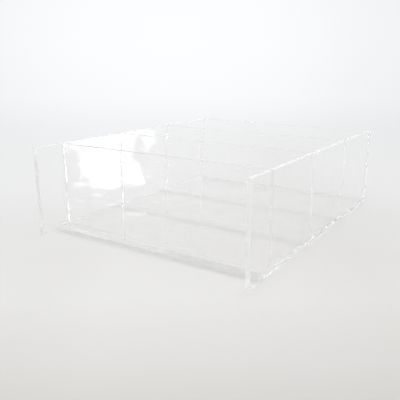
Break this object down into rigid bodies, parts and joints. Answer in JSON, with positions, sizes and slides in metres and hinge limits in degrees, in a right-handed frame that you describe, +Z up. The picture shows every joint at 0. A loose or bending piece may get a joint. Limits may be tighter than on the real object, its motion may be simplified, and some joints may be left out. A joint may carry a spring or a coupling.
{
  "type": "soap loaf mould",
  "caption": "Clear acrylic open-topped soap mould with long cavities side by side; base, end panels and back wall are fixed, front wall and dividers lift out of grooves.",
  "frame": {"origin": "middle of the footprint, on the surface that the mould stands on", "axes": "+X along the loaves towards the right end panel, +Y from the front wall to the back wall, +Z up"},
  "size_m": [0.208, 0.261, 0.076],
  "materials": {
    "fixed_sheet": "clear cast acrylic sheet, polished edges, cemented",
    "sliding_sheet": "clear cast acrylic sheet, polished edges, loose in its grooves"
  },
  "bodies": {
    "frame": {"base_plate": "fixed_sheet", "left_end_panel": "fixed_sheet", "right_end_panel": "fixed_sheet", "back_wall": "fixed_sheet"},
    "front_wall": {"front_wall": "sliding_sheet"},
    "front_divider": {"front_divider": "sliding_sheet"},
    "rear_divider": {"rear_divider": "sliding_sheet"}
  },
  "joints": [
    {"name": "front_wall_lift", "type": "slide", "parent": "frame", "child": "front_wall", "axis": [0, 0, 1], "range_m": [0, 0.08]},
    {"name": "front_divider_lift", "type": "slide", "parent": "frame", "child": "front_divider", "axis": [0, 0, 1], "range_m": [0, 0.08]},
    {"name": "rear_divider_lift", "type": "slide", "parent": "frame", "child": "rear_divider", "axis": [0, 0, 1], "range_m": [0, 0.08]}
  ]
}
